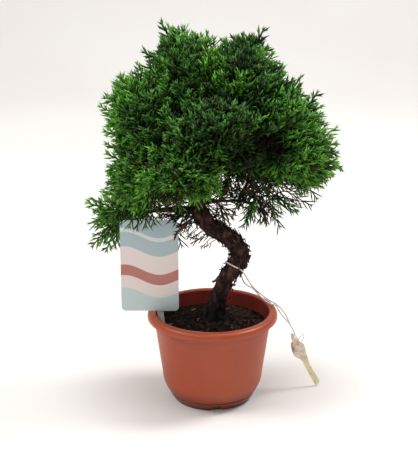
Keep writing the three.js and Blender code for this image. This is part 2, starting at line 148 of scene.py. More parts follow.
# How far sprays lean away from their twig, in radians, and the places tried for a tip along its ray
FAN_SPREAD = 0.52
RAY_STEPS = np.arange(0.5, 1.36, 0.05)[:, None]
BOUGH_POINTS, STEM_POINTS, TWIG_POINTS = 46, 40, 5
# A full spray, an open fan of shoots, and a bare twig of the same form as the fan
FULL, FAN, BARE = 0, 1, 2
# Forms of sprays: copies of a form, where its side shoots start, how many, their reach and thickness,
# and the prongs on each
FORMS = {
    FULL: [(5, 0.1, 6, 0.46, 0.037, 1), (3, 0.1, 6, 0.54, 0.033, 1)],
    FAN: [(6, 0.14, 6, 0.58, 0.025, 0), (2, 0.4, 2, 0.4, 0.027, 0)],
    BARE: [(n, 0.3, shoots, 0.44, 0.026, 0) for n, shoots in ((1, 1), (2, 2), (2, 3), (1, 4))],
}
# Sprays to a piece, which keeps each piece under 200,000 triangles
MOST_LEAFY, MOST_BARE = 1400, 2500

CARD_LEFT, CARD_BOTTOM, CARD_FRONT = -83.3, 86.5, -7
CARD_WIDTH, CARD_HEIGHT, CARD_THICKNESS, CARD_CORNER = 52.5, 87, 0.6, 4
WAVE_LENGTH, WAVE_HEIGHT = 64, 5
STEM_X, STEM_LEAN, STEM_RISE, STEM_DROP = -48.3, 7, 89, 34
STEM_WIDTH, STEM_THICKNESS, STEM_POINT, STEM_BORDER, STEM_RELIEF = 5.6, 1.2, 12, 1.4, 0.4
TAG_TOP = (80.3, 11, 53.6)
TAG_SLANT, TAG_THICKNESS, PAPER_THICKNESS = 0.115, 0.8, 0.35
# How far down the tag its flat strip and the strip's yellow start
TAG_STRIP, TAG_YELLOW = 24, 25.5
TAG_EDGE = [
    (-3.7, -2.9), (-0.8, 0.1), (0.8, 4.1), (3.5, 6.1), (6.1, 8.3), (7.6, 15), (8, 21.8), (9, 24.6),
    (22.2, 48.1), (21.7, 50.8), (20, 53.4), (18.2, 53.2), (5.3, 27.4), (2.9, 24.6), (-2, 21.8),
    (-5.1, 15.6), (-3.7, 12.3), (-6.7, 7.4), (-5.1, 3.5), (-6.8, 0.1), (-6.6, -3.6),
]
STRING_AT, STRING_RADIUS, STRING_SLACK, STRING_TILT, STRING_TWISTS = 0.262, 0.72, 1.3, 20, 170
# Two strands from the loop, across each other, over the rim and down to the tag
STRING_FRONT = [
    (36.7, 0.6, 107.6), (47.6, 10.6, 94), (54, 17.3, 87), (61.4, 18, 82), (68.2, 16.5, 74.2),
    (72.9, 14, 65), (76.7, 11.7, 57.6), (77.4, 10.7, 55.4),
]
STRING_BACK = [
    (30, 5, 108.8), (36.9, 4.8, 104.2), (47.2, 7.8, 92), (53.6, 9.4, 87), (59.2, 9.9, 85),
    (62.2, 10.2, 79.4), (67.9, 10.4, 71.6), (72.6, 10, 66), (77, 9.5, 57.4), (77.6, 9.9, 55.2),
]
# The loose bow on the tag's neck, measured from the tag's top
BOW = [
    (0.2, -1.3, -4), (2.6, -1.6, 0.9), (5, -1.5, 2.9), (5.8, -1.4, 0.4), (3.8, -1.4, -4), (1.2, -1.4, -9),
]
BOW_RADIUS = 0.42


# Camera and light

scene = bpy.context.scene
scene.view_settings.view_transform = "Standard"


def put(name, data):
    """An object in the scene that holds a mesh, lamp or camera."""
    holder = bpy.data.objects.new(name, data)
    scene.collection.objects.link(holder)
    return holder


# The camera that was fitted to the pot in the photo
camera = put("camera", bpy.data.cameras.new("camera"))
camera.data.lens = 93.1
camera.location = (-0.0032, -1.0, 0.486)
camera.rotation_euler = (math.radians(72.3), 0, 0)
scene.camera = camera


def lamp(name, place, aim, size, power):
    """A round soft lamp: place, aim and size in metres, power in watts."""
    light = bpy.data.lights.new(name, "AREA")
    light.shape = "DISK"
    light.size = size
    light.energy = power
    holder = put(name, light)
    holder.location = place
    holder.rotation_euler = (Vector(aim) - Vector(place)).to_track_quat("-Z", "Y").to_euler()


lamp("top", (0, 0.02, 2.4), (0, 0, 0.2), 1.3, 40)
lamp("front", (-0.8, -1.8, 1.6), (0, 0, 0.2), 1.2, 11)
lamp("left", (-1.6, -0.3, 1.9), (0, 0, 0.25), 1.2, 27)
lamp("right", (1.4, 0.3, 2.0), (0, 0, 0.2), 0.7, 35)


# Materials


def linear(code):
    """A colour from its sRGB hex code."""
    channels = [int(code[i:i + 2], 16) / 255 for i in (0, 2, 4)]
    return [c / 12.92 if c <= 0.04045 else ((c + 0.055) / 1.055) ** 2.4 for c in channels] + [1.0]


def add(tree, kind, out, inputs=None, **settings):
    """One output of a new node with its settings, and with its inputs set or linked."""
    node = tree.nodes.new("ShaderNode" + kind)
    for name, value in settings.items():
        setattr(node, name, value)
    for name, value in (inputs or {}).items():
        if isinstance(value, bpy.types.NodeSocket):
            tree.links.new(value, node.inputs[name])
        else:
            node.inputs[name].default_value = value
    return node.outputs[out]


def finish(
    name, tones, patch, roughness, grain, depth,
    gloss=0.5, ior=1.5, stretch=(1, 1, 1), along=None, edges=None,
):
    """A mottled finish: tones over patches, and a grain with a depth. Patch, grain and depth in mm.
    The tones may also run along a named value that the mesh carries, and start at given edges."""
    material = bpy.data.materials.new(name)
    material.use_nodes = True
    tree = material.node_tree
    shader = tree.nodes["Principled BSDF"].inputs
    place = add(tree, "Mapping", "Vector", {"Vector": add(tree, "TexCoord", "Object"), "Scale": stretch})
    mottle = add(tree, "TexNoise", "Fac", {"Vector": place, "Scale": 1 / MM / patch, "Detail": 4.0})
    fine = add(tree, "TexNoise", "Fac", {"Vector": place, "Scale": 1 / MM / grain, "Detail": 3.0})
    level = mottle
    if along:
        run = add(tree, "Attribute", "Fac", attribute_name=along)
        level = add(tree, "Math", "Value", {0: mottle, 1: 0.6, 2: run}, operation="MULTIPLY_ADD")
    ramp = add(tree, "ValToRGB", "Color", {"Fac": level})
    stops = ramp.node.color_ramp.elements
    # the noise keeps mostly within the middle of its range
    for i, (tone, edge) in enumerate(zip(tones, edges or np.linspace(0.3, 0.7, len(tones)))):
        stop = stops[i] if i < 2 else stops.new(edge)
        stop.position = edge
        stop.color = linear(tone)
    worn = {"Value": mottle, "To Min": roughness - 0.1, "To Max": roughness + 0.1}
    bump = {"Height": fine, "Distance": depth * MM}
    tree.links.new(ramp, shader["Base Color"])
    tree.links.new(add(tree, "MapRange", "Result", worn), shader["Roughness"])
    tree.links.new(add(tree, "Bump", "Normal", bump), shader["Normal"])
    shader["IOR"].default_value = ior
    shader["Specular IOR Level"].default_value = gloss
    return material


def painted_shade_below(material, tone, level, shade_free_level, most):
    """Mixes a darker tone into a finish towards a level, from nothing at a shade-free level above it:
    painted shade.
    """
    tree = material.node_tree
    colour = tree.nodes["Principled BSDF"].inputs["Base Color"]
    height = add(tree, "SeparateXYZ", "Z", {"Vector": add(tree, "TexCoord", "Object")})
    levels = {"From Min": level * MM, "From Max": shade_free_level * MM, "To Min": most, "To Max": 0.0}
    share = add(tree, "MapRange", "Result", {"Value": height, **levels})
    blend = {"Factor": share, "A": colour.links[0].from_socket, "B": linear(tone)}
    tree.links.new(add(tree, "Mix", "Result", blend, data_type="RGBA"), colour)


# The real grain of plastic, card, paper and cotton is about a tenth of a millimetre, too fine to show
# in the render, so it is drawn about a millimetre coarse.

# Injection-moulded polypropylene: even colour and a soft gloss that goes pale at the edges, with painted
# shade that darkens it towards the foot
pot_plastic = finish("moulded_polypropylene", ["963813", "a03f17", "a6471f"], 60, 0.42, 1.5, 0.02)
# painted shade: darker towards the foot, where the pot stands in its own shadow
painted_shade_below(pot_plastic, "4c1a0d", 2, 19, 0.85)
# The same plastic inside the pot, painted a dark red with no gloss: peat stain and painted shade inside
# the pot
stained_and_shaded_plastic = finish("peat_stained_and_shaded_polypropylene", ["741e13", "8a2618", "9c2e1e"], 12, 0.8, 1.5, 0.05)
# Peat: near black, with no gloss
peat = finish("peat", ["070403", "0f0806", "1b110c"], 5, 0.95, 1.2, 0.8, 0.1)
# Composted bark, wet through: brown-black chips that barely stand out from the peat
chip_dark = finish("composted_bark_dark", ["0b0605", "160d0a", "21140f"], 3, 0.9, 0.8, 0.3, 0.15)
# Composted bark that has begun to dry: chips of a dull red-brown
chip_brown = finish("composted_bark_brown", ["22140e", "352017", "46291d"], 3, 0.9, 0.8, 0.3, 0.2)
# Dry straw: a few pale strokes on the dark soil
straw = finish("dry_straw", ["7a5c42", "a2805e", "bc9c78"], 4, 0.8, 0.6, 0.1)
# Juniper bark: dark red-brown strips with greyer weathered edges, painted near black towards the soil as
# shade at the trunk's foot
bark_tones = ["0c0605", "20100d", "3e2420", "62443c"]
bark = finish("juniper_bark", bark_tones, 4, 0.88, 0.7, 0.35, 0.3, stretch=(1, 1, 0.4))
# painted shade: near black at the trunk's foot, just above the soil
painted_shade_below(bark, "060405", SOIL_CROWN + 12, SOIL_CROWN + 32, 0.95)
# Thin bark of twigs: a dark brown that shows as fine lines against the sky
twig_bark = finish("twig_bark", ["150d09", "241812", "38281f"], 6, 0.85, 0.6, 0.15, 0.3)
# Bark of dead twigs, dried and bleached by the air: a warmer, paler brown
dry_bark = finish("dry_twig_bark", ["22170e", "402e1d", "684e33"], 5, 0.85, 0.6, 0.15, 0.3)
# Scale leaves with a thin wax: one green to a spray, from dark inner ones to light tips. Which green a
# spray takes is painted light and shade by its place in the crown, and the lighter tips are also the real
# new growth.
# Each shoot is dark at its root, as painted shade between shoots, and light at its end, so that shoots
# stand out from one another
NEEDLE_GREENS = {
    "needles_inner": ["081204", "1a2e10", "345224"],
    "needles_shaded": ["0b1c07", "274a19", "4c7c31"],
    "needles_full": ["0f2606", "35641d", "62a038"],
    "needles_bright": ["143008", "417421", "76b443"],
    "needles_tip": ["1a3a0a", "4d8229", "88c44e"],
}
needle_finishes = [
    finish(name, tones, 3.5, 0.48, 0.9, 0.08, 0.16, ior=1.45, along="tone")
    for name, tones in NEEDLE_GREENS.items()
]
# Moulded polystyrene: a clean white with a soft gloss
stem_plastic = finish("white_polystyrene", ["dcdad6", "e6e4e0", "eeece8"], 20, 0.4, 1.0, 0.01)
# Uncoated card, on the back and the cut edges: a duller off-white
card_back = finish("uncoated_card", ["e4e0da", "ece8e2", "f0ece8"], 30, 0.5, 1.0, 0.01)
# Waxed cotton: an off-white twist that dirt has greyed a little in its grooves
string_cotton = finish("waxed_cotton_string", ["cfc6bd", "e0d9d1", "ece7e1"], 3, 0.7, 0.5, 0.1)
# Crumpled paper: cream with tan creases, and a strip of faded yellow
tag_cream = finish("crumpled_paper_cream", ["ccb194", "e0d2c0", "eee6da"], 6, 0.75, 1.2, 0.12)
tag_yellow = finish("crumpled_paper_yellow", ["d8cf9e", "e6deb4", "efe9c8"], 7, 0.7, 1.2, 0.08)


def printed_card():
    """Coated card: a smooth sheen over a print of plain wavy bands in pale blue, blush and terracotta."""
    bands = ["bccdcc", "e2d4cf", "b47066", "e2d4cf", "a8b9bd", "d3dbda", "a8b9bd"]
    edges = (0.0, 0.2, 0.34, 0.46, 0.66, 0.82, 0.86)
    material = finish("printed_coated_card", bands, 40, 0.32, 1.5, 0.005, edges=edges)
    tree = material.node_tree
    place = {"Vector": add(tree, "TexCoord", "Object")}
    x, z = [add(tree, "SeparateXYZ", axis, place) for axis in "XZ"]
    turn = add(tree, "Math", "Value", {0: x, 1: FULL_TURN / (WAVE_LENGTH * MM)}, operation="MULTIPLY")
    wave = add(tree, "Math", "Value", {0: turn}, operation="SINE")
    height = add(tree, "Math", "Value", {0: wave, 1: WAVE_HEIGHT * MM, 2: z}, operation="MULTIPLY_ADD")
    ends = {"From Min": CARD_BOTTOM * MM, "From Max": (CARD_BOTTOM + CARD_HEIGHT) * MM}
    ramp = tree.nodes["Principled BSDF"].inputs["Base Color"].links[0].from_node
    ramp.color_ramp.interpolation = "CONSTANT"
    tree.links.new(add(tree, "MapRange", "Result", {"Value": height, **ends}), ramp.inputs["Fac"])
    return material


# Making pieces


def settle(name, mesh, materials, nodes=()):
    """Adds a piece on the part's one body, in place of the given nodes."""
    mesh.name = name
    for material in materials:
        mesh.materials.append(material)
    piece = put(name, mesh)
    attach(piece, "root")
    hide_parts(*nodes)


def mesh_of(bm, smooth_below=40):
    """A finished mesh in metres from a bmesh in millimetres, smooth over edges below an angle."""
    bmesh.ops.recalc_face_normals(bm, faces=bm.faces)
    bmesh.ops.scale(bm, vec=(MM, MM, MM), verts=bm.verts)
    mesh = bpy.data.meshes.new("piece")
    bm.to_mesh(mesh)
    bm.free()
    mesh.shade_smooth()
    mesh.set_sharp_from_angle(angle=math.radians(smooth_below))
    return mesh


def joined_mesh(points, faces, picks=None, tones=None):
    """One mesh from an array of points and an array of faces, for the many small things. Faces may
    each pick a material, and points may carry a tone."""
    mesh = bpy.data.meshes.new("piece")
    mesh.from_pydata((points * MM).tolist(), [], faces.tolist())
    mesh.validate()
    mesh.shade_smooth()
    if picks is not None:
        mesh.polygons.foreach_set("material_index", picks.astype(np.int32))
    if tones is not None:
        mesh.attributes.new("tone", "FLOAT", "POINT").data.foreach_set("value", tones.astype(np.float32))
    return mesh


def copies(faces, corners, count):
    """The faces of many copies of one shape, which has the given number of corners."""
    return (faces[None] + corners * np.arange(count)[:, None, None]).reshape(-1, faces.shape[1])


def tube_faces(sides, rings):
    """The faces of a tube with so many sides, between rings of points."""
    ring = np.arange(sides)
    turn = (ring + 1) % sides
    return copies(np.stack([ring, turn, turn + sides, ring + sides], axis=1), sides, rings - 1)


def draw_out(bm, extruded, way):
    """Moves what an extrusion has made."""
    ends = [item for item in extruded["geom"] if isinstance(item, bmesh.types.BMVert)]
    bmesh.ops.translate(bm, vec=way, verts=ends)


def seeded(number):
    return np.random.default_rng(number)


def unit(vectors):
    return vectors / norm(vectors, axis=-1, keepdims=True)


def spokes(across, front, angle):
    """Directions round a line, at angles between two directions across it."""
    return across * np.cos(angle)[..., None] + front * np.sin(angle)[..., None]


def ring_points(radius, turn, height):
    """Points from their radius, their turn round +Z and their height."""
    return np.stack([radius * np.cos(turn), radius * np.sin(turn), height], axis=1)


def evenly(line, count):
    """Points at even steps along a line of points."""
    steps = np.concatenate([[0], np.cumsum(norm(np.diff(line, axis=0), axis=1))])
    wanted = np.linspace(0, steps[-1], count)
    return np.stack([np.interp(wanted, steps, line[:, k]) for k in range(3)], axis=1)


def through(points, count):
    """Points along the smooth centripetal curve that passes through the given ones."""
    p = np.array(points, float)
    p = np.vstack([2 * p[0] - p[1], p, 2 * p[-1] - p[-2]])
    t = np.linspace(0, 1, 40)[:, None]
    runs = []
    for a, b, c, d in zip(p, p[1:], p[2:], p[3:]):
        before, here, after = [math.sqrt(norm(gap)) for gap in (b - a, c - b, d - c)]
        leave = here * ((b - a) / before - (c - a) / (before + here) + (c - b) / here)
        arrive = here * ((c - b) / here - (d - b) / (here + after) + (d - c) / after)
        square, cube = 3 * (c - b) - 2 * leave - arrive, 2 * (b - c) + leave + arrive
        runs.append(b + leave * t + square * t**2 + cube * t**3)
    return evenly(np.vstack(runs), count)


def bent(start, middle, end, count=TWIG_POINTS):
    """Points along a curve from start to end, drawn towards the middle point."""
    t = np.linspace(0, 1, count)[:, None]
    return (1 - t) ** 2 * start + 2 * t * (1 - t) * middle + t**2 * end


def patchy(rng, around, along, cells_around, cells_along):
    """Smooth random values from 0 to 1 round and along a limb, with whole cells round it."""
    grid = rng.random((cells_along + 2, cells_around))
    x, y = (around % 1) * cells_around, np.clip(along, 0, 1) * cells_along
    column, row = np.floor(x).astype(int), np.floor(y).astype(int)
    across, up = [t**2 * (3 - 2 * t) for t in (x - column, y - row)]
    here, beside = column % cells_around, (column + 1) % cells_around
    below, above = [grid[k, here] * (1 - across) + grid[k, beside] * across for k in (row, row + 1)]
    return below * (1 - up) + above * up


def across_line(line):
    """Two steady directions across a line at each of its points."""
    along = unit(np.gradient(line, axis=0))
    side = np.cross(along[0], (0.1, 1.0, 0.2))
    sides = []
    for way in along:
        side = unit(side - way * np.dot(side, way))
        sides.append(side)
    return np.array(sides), np.cross(along, sides)


def limb(bm, line, radius_at, around):
    """Adds a closed limb: a grid rolled round a line, with a radius for each place on it."""
    steps = len(line) - 1
    grid = bmesh.ops.create_grid(bm, x_segments=around, y_segments=steps, size=0.5)["verts"]
    places = np.array([vertex.co for vertex in grid]) + 0.5
    ring = np.rint(places[:, 1] * steps).astype(int)
    side, front = across_line(line)
    out = spokes(side[ring], front[ring], FULL_TURN * places[:, 0])
    rolled = line[ring] + out * radius_at(places[:, 1], places[:, 0] % 1)[:, None]
    for vertex, point in zip(grid, rolled):
        vertex.co = point
    bmesh.ops.remove_doubles(bm, verts=grid, dist=1e-4)
    bmesh.ops.holes_fill(bm, edges=[edge for edge in bm.edges if edge.is_boundary], sides=0)


def tubes(lines, radii, sides=3):
    """Points and faces of many thin tubes at once: lines by points by 3, and a radius at each point."""
    count, steps, _ = lines.shape
    along = unit(np.gradient(lines, axis=1))
    is_upright = np.abs(along.mean(axis=1, keepdims=True)[..., 2:]) >= 0.8
    across = unit(np.cross(along, np.where(is_upright, np.array([1.0, 0, 0]), UP)))
    turn = FULL_TURN * np.arange(sides) / sides
    out = spokes(across[:, :, None], np.cross(along, across)[:, :, None], turn)
    points = lines[:, :, None] + out * radii[:, :, None, None]
    return points.reshape(-1, 3), copies(tube_faces(sides, steps), sides * steps, count)


# Pot


def pot_outside(height):
    """The pot's radius at a height, on its foot, its rounded bottom or its straight side."""
    if height <= FOOT_HEIGHT:
        return BASE_RADIUS + (FOOT_RADIUS - BASE_RADIUS) * height / FOOT_HEIGHT
    if height > SHOULDER_HEIGHT:
        return float(np.interp(height, (SHOULDER_HEIGHT, RIM_BOTTOM), (SHOULDER_RADIUS, BODY_RADIUS)))
    turn = (height - FOOT_HEIGHT) / (SHOULDER_HEIGHT - FOOT_HEIGHT)
    return WAIST_RADIUS + (SHOULDER_RADIUS - WAIST_RADIUS) * math.sin(turn * math.pi / 2)


def arc(centre, radius, start, end, count):
    """Points of an arc in the pot's section, from one angle to another in degrees."""
    angles = np.radians(np.linspace(start, end, count))
    return [(centre[0] + radius * math.cos(a), centre[1] + radius * math.sin(a)) for a in angles]


def turned(profile, steps):
    """A closed body of revolution from radius and height points."""
    bm = bmesh.new()
    ends = [bm.verts.new((radius, 0, height)) for radius, height in profile]
    edges = [bm.edges.new(pair) for pair in zip(ends, ends[1:])]
    line = ends + edges
    bmesh.ops.spin(bm, geom=line, cent=(0, 0, 0), axis=UP, angle=FULL_TURN, steps=steps, use_merge=True)
    bmesh.ops.remove_doubles(bm, verts=bm.verts, dist=1e-4)
    return bm


def make_pot():
    side = [(pot_outside(z), z) for z in np.linspace(SHOULDER_HEIGHT + 4, RIM_STEP - 0.5, 6)]
    bottom = [(pot_outside(z), z) for z in np.linspace(FOOT_HEIGHT + 2, SHOULDER_HEIGHT, 9)]
    lip = BODY_RADIUS - POT_WALL
    profile = [
        (0, 1.2), (BASE_RADIUS - 4, 1.2), (BASE_RADIUS - 3.4, 0.2), (BASE_RADIUS - 3, 0),
        *arc((BASE_RADIUS - 1.3, 0.9), 0.9, -90, 0, 4),
        # a low foot with a groove above it, then the bottom rolls out into the side
        (BASE_RADIUS + 0.5, 2.2), (BASE_RADIUS + 1.9, 4.2), (BASE_RADIUS + 2.9, 6.2), (FOOT_RADIUS, 7.2),
        (FOOT_RADIUS - 0.6, FOOT_HEIGHT - 0.1), (WAIST_RADIUS, FOOT_HEIGHT + 0.6), *bottom, *side,
        # a thin step that the mould leaves under the rim
        (pot_outside(RIM_STEP) + 0.1, RIM_STEP), (pot_outside(RIM_STEP + 0.6) + 0.5, RIM_STEP + 0.4),
        (pot_outside(RIM_BOTTOM - 1) + 0.3, RIM_BOTTOM - 1.4), (BODY_RADIUS + 0.8, RIM_BOTTOM),
        *arc((RIM_RADIUS - RIM_UNDER_ROUND, RIM_BOTTOM + RIM_UNDER_ROUND), RIM_UNDER_ROUND, -90, 0, 5),
        # the rim's top falls away outwards from a narrow inner edge
        *arc((RIM_RADIUS - RIM_ROUND, POT_HEIGHT - RIM_ROUND), RIM_ROUND, 0, 84, 9),
        *arc((lip + LIP_ROUND, POT_HEIGHT - LIP_ROUND), LIP_ROUND, 90, 180, 6),
        (lip, RIM_BOTTOM),
        *[(pot_outside(z) - POT_WALL, z) for z in (66, 45, SHOULDER_HEIGHT, 18, 12, FOOT_HEIGHT)],
        (pot_outside(POT_FLOOR) - POT_WALL, POT_FLOOR), (0, POT_FLOOR),
    ]
    pot = put("pot_blank", mesh_of(turned(profile, 144)))
    cutters = bmesh.new()
    for quarter in range(4):
        # a drain notch, narrower at its top
        notch = bmesh.ops.create_cube(cutters, size=2)["verts"]
        for vertex in notch:
            half, level = (NOTCH_TOP_HALF, NOTCH_HEIGHT) if vertex.co.z > 0 else (NOTCH_BASE_HALF, -1)
            vertex.co = (vertex.co.x * half, NOTCH_HALF_DEPTH * vertex.co.y - NOTCH_MIDDLE, level)
        turn = math.radians(NOTCH_TURN + 90 * quarter)
        bmesh.ops.rotate(cutters, verts=notch, matrix=Matrix.Rotation(turn, 3, "Z"))
    cutter = put("notches", mesh_of(cutters))
    cut = pot.modifiers.new("notches", "BOOLEAN")
    cut.object = cutter
    cut.solver = "EXACT"
    mesh = bpy.data.meshes.new_from_object(pot.evaluated_get(bpy.context.evaluated_depsgraph_get()))
    for holder in (pot, cutter):
        bpy.data.objects.remove(holder)
    mesh.set_sharp_from_angle(angle=math.radians(32))
    # faces inside the pot take the darker plastic: peat stain and painted shade
    for face in mesh.polygons:
        x, y, z = face.center / MM
        is_within = math.hypot(x, y) < pot_outside(z) - POT_WALL / 2
        face.material_index = 1 if is_within and POT_FLOOR - 0.1 < z < POT_HEIGHT - 1 else 0
    settle("nursery_pot", mesh, [pot_plastic, stained_and_shaded_plastic], ["pot"])


# Soil


def soil_radius(height):
    """The soil's radius at a height, a hair within the pot's wall."""
    return pot_outside(height) - POT_WALL - 2 * GAP


def soil_height(radius):
    return np.interp(radius, (SOIL_CROWN_RADIUS, soil_radius(SOIL_EDGE)), (SOIL_CROWN, SOIL_EDGE))


def make_soil(rng):
    inside = soil_radius(SOIL_EDGE)
    bottom = POT_FLOOR + GAP
    levels = (bottom, FOOT_HEIGHT, 17, SHOULDER_HEIGHT, SOIL_EDGE - 2)
    profile = [(0, bottom), *[(soil_radius(z), z) for z in levels]]
    profile += [(radius, soil_height(radius)) for radius in np.linspace(inside, 0, 34)]
    bm = turned(profile, 110)
    for vertex in bm.verts:
        if vertex.co.z > SOIL_EDGE - 1:
            most = min(2.2, inside - math.hypot(vertex.co.x, vertex.co.y))
            vertex.co.z += (rng.random() - 0.5) * most
    settle("soil_mound", mesh_of(bm, 60), [peat], ["soil"])


def make_chips(rng):
    """Bark chips: flat six-cornered crumbs, in two browns and a few pale straws, browner behind the
    trunk."""
    radius = np.sqrt(rng.random(CHIPS)) * (soil_radius(SOIL_EDGE) - 2)
    angle = rng.random(CHIPS) * FULL_TURN
    centre = ring_points(radius, angle, soil_height(radius) + 0.4)
    length = 1.1 + 3.2 * rng.random(CHIPS) ** 2.2
    is_straw = rng.random(CHIPS) < STRAW_SHARE
    length[is_straw] = STRAW_HALF_LENGTH
    width = length * (0.3 + 0.5 * rng.random(CHIPS))
    half = np.stack([length, width, 0.35 + 0.45 * rng.random(CHIPS)], axis=1)
    half[is_straw, 1:] = STRAW_HALF_THICK
    turn = rng.random(CHIPS) * FULL_TURN
    tilt = (rng.random((CHIPS, 2)) - 0.5) * 0.9
    along = unit(ring_points(1, turn, tilt[:, 0]))
    across = unit(np.cross(UP + 0.6 * tilt[:, 1:] * np.array([1.0, 0, 0]), along))
    lift = np.cross(along, across)
    corners = np.array([(1, 0, 0), (0, 1, 0), (-1, 0, 0), (0, -1, 0), (0, 0, 1), (0, 0, -1)], float)
    shape = corners[None] * half[:, None] * (0.7 + 0.6 * rng.random((CHIPS, len(corners), 1)))
    points = centre[:, None] + np.einsum("nck,nkd->ncd", shape, np.stack([along, across, lift], axis=1))
    crumb = np.array([[(k, (k + 1) % 4, 4), ((k + 1) % 4, k, 5)] for k in range(4)]).reshape(-1, 3)
    brown_share = np.where((centre[:, 0] > 10) & (centre[:, 1] > -8), 0.6, 0.28)
    kind = np.where(is_straw, 2, (rng.random(CHIPS) < brown_share).astype(int))
    faces = copies(crumb, len(corners), CHIPS)
    mesh = joined_mesh(points.reshape(-1, 3), faces, np.repeat(kind, len(crumb)))
    mesh.shade_flat()
    settle("bark_chips", mesh, [chip_dark, chip_brown, straw])


# Trunk and boughs

trunk_points = through(TRUNK_LINE, TRUNK_STEPS + 1)


def on_trunk(share):
    return trunk_points[round(share * TRUNK_STEPS)]


def trunk_girth(share):
    taper = np.clip((share - TAPER_FROM) / (1 - TAPER_FROM), 0, 1)
    return TRUNK_RADIUS + (TRUNK_TIP - TRUNK_RADIUS) * taper


def trunk_surface(share, around):
    """The trunk's radius with its root flare and the relief of its strips of bark."""
    rng = seeded(5)
    angle = FULL_TURN * around
    low = np.clip(1 - share / FLARE_SHARE, 0, 1)
    flare = 0.9 * low**2 * (0.8 + 0.2 * np.cos(5 * angle))
    ripple = 0.06 * np.cos(3 * angle + 60 * share)
    twist = around + 0.35 * share
    strips = np.abs(2 * patchy(rng, twist, share, 9, 22) - 1)
    plates = np.clip((patchy(rng, twist, share, 7, 34) - 0.45) * 7, 0, 1)
    crumbs = patchy(rng, twist, share, 30, 110)
    relief = 0.9 * plates - 0.9 * (1 - strips) ** 4 + 0.7 * (crumbs - 0.5)
    return trunk_girth(share) * (1 + flare + ripple) + relief * trunk_girth(share) / TRUNK_RADIUS


def make_trunk():
    bm = bmesh.new()
    limb(bm, trunk_points, trunk_surface, 88)
    settle("trunk_bark", mesh_of(bm, 75), [bark], ["trunk"])


def make_flakes():
    """Peeling flakes: small curled plates whose free end stands off the trunk, most at its outer bend."""
    rng = seeded(8)
    each = (FLAKES, 1, 1)
    anywhere = rng.random(each) < 0.65
    share = np.where(anywhere, rng.uniform(0.03, 0.66, each), rng.normal(0.33, 0.045, each))
    start = rng.random(each) * FULL_TURN
    width = rng.uniform(0.2, 0.5, each)
    length = rng.uniform(4, 11, each)
    curl = rng.uniform(0.5, 3.4, each)
    up_or_down = rng.choice((-1, 1), each)
    rows, columns = 5, 4
    step = np.linspace(0, 1, rows)[:, None]
    place = np.linspace(-0.5, 0.5, columns)
    ragged = 1 + 0.5 * (rng.random((FLAKES, rows, columns)) - 0.5)
    angle = start + width * place * (1.1 - 0.6 * step) * ragged
    move = length * up_or_down * step * TRUNK_STEPS / TRUNK_LENGTH
    ring = np.rint(np.rint(share * TRUNK_STEPS) + move + 0 * place)
    ring = np.clip(ring, 0, TRUNK_STEPS).astype(int)
    share = ring / TRUNK_STEPS
    flare = np.clip(1 - share / FLARE_SHARE, 0, 1) ** 2
    reach = trunk_girth(share) * (1 + 0.75 * flare) + 0.45 + curl * step**2 * ragged
    side, front = across_line(trunk_points)
    out = spokes(side[ring], front[ring], angle)
    outer = trunk_points[ring] + out * reach[..., None]
    inner = outer - out * FLAKE_THICKNESS
    # each row of points goes along a flake's outside and back along its inside
    points = np.concatenate([outer, inner[:, :, ::-1]], axis=2).reshape(-1, 3)
    sides = 2 * columns
    end = np.array([(k, sides - 1 - k, sides - 2 - k, k + 1) for k in range(columns - 1)])
    flake = np.concatenate([tube_faces(sides, rows), end, end[:, ::-1] + sides * (rows - 1)])
    faces = copies(flake, sides * rows, FLAKES).reshape(FLAKES, -1, 4)
    # the faces of flakes that hang down go round the other way, to point outwards too
    faces = np.where(up_or_down > 0, faces, faces[..., [0, 3, 2, 1]]).reshape(-1, 4)
    settle("bark_flakes", joined_mesh(points, faces), [bark])


def bough_line(name):
    """A bough from the trunk to the near side of its mass, arched a little."""
    share, centre, half = MASSES[name][:3]
    root = on_trunk(share)
    tip = centre + 0.76 * unit((root - centre) / half) * half
    middle = (root + tip) / 2 + 0.1 * norm(tip - root) * UP
    return bent(root, middle, tip, BOUGH_POINTS)


def make_boughs():
    bm = bmesh.new()
    for number, name in enumerate(MASSES):
        rng = seeded(200 + number)
        root = trunk_girth(MASSES[name][0]) * BOUGH_ROOT_SHARE

        def surface(along, around):
            girth = root + (BOUGH_TIP - root) * along
            strips = patchy(rng, around + 0.5 * along, along, 6, 12)
            crumbs = patchy(rng, around, along, 12, 34)
            return girth * (0.82 + 0.26 * strips + 0.2 * crumbs)

        limb(bm, bough_line(name), surface, 22)
    settle("boughs_bark", mesh_of(bm, 75), [bark], [f"bough_{name}" for name in MASSES])


# Foliage


def spikes(start, end, thick, rings):
    """Points, faces and tones of three-sided spikes, open at the root: rings as share of the length
    and of the radius, then a point at the end. A spike gets lighter from its root to its end: painted
    shade at the root."""
    way = unit(end - start)
    across = unit(np.cross(way, (0.13, 0.29, 0.95)))
    out = spokes(across[:, None], np.cross(way, across)[:, None], FULL_TURN * np.arange(3) / 3)
    points = [(start + share * (end - start))[:, None] + size * thick * out for share, size in rings]
    points = np.concatenate([*points, end[:, None]], axis=1)
    last = 3 * len(rings)
    tip = [(last - 3 + k, last - 3 + (k + 1) % 3, last) for k in range(3)]
    quads = tube_faces(3, len(rings))
    faces = np.concatenate([tip, quads[:, :3], quads[:, [0, 2, 3]]])
    tones = np.array([share for share, _ in rings for _ in range(3)] + [1.0])
    count = len(start)
    return points.reshape(-1, 3), copies(faces, last + 1, count), np.tile(tones, (count, 1))


